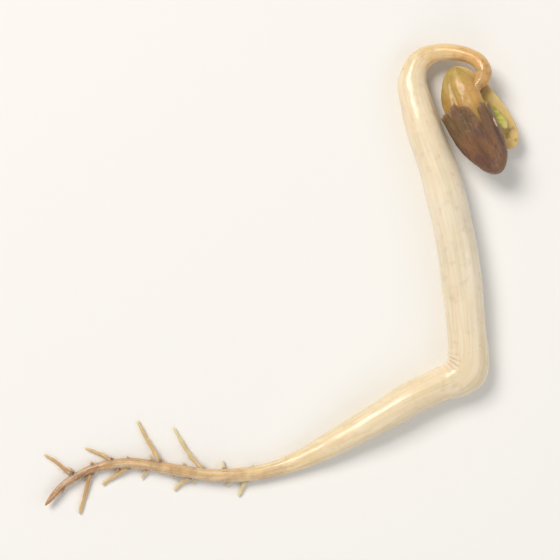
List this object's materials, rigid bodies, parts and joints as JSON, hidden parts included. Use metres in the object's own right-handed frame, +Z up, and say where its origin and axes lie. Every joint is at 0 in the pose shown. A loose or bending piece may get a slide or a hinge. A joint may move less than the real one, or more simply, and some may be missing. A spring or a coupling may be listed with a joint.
{
  "type": "mung bean sprout",
  "caption": "One mung bean sprout lying flat: pale thick stem with a hooked neck, bean head and sharp elbow, tapering into a thin root.",
  "frame": {"origin": "middle of the sprout's box, on the surface that it lies on", "axes": "+Z up from the surface; +Y along the long stretch of stem, from the elbow to the hooked neck; -X towards the root's tip"},
  "size_m": [0.0386, 0.0382, 0.004],
  "materials": {
    "stem_flesh": "satin",
    "seed_leaf_flesh": "satin",
    "leaf_bud_green": "satin",
    "seed_coat_skin": "satin"
  },
  "bodies": {
    "root": {"stem_and_root": "stem_flesh", "seed_leaf_upper": "seed_leaf_flesh", "seed_leaf_lower": "seed_leaf_flesh", "leaf_bud": "leaf_bud_green", "seed_coat": "seed_coat_skin"}
  },
  "joints": []
}
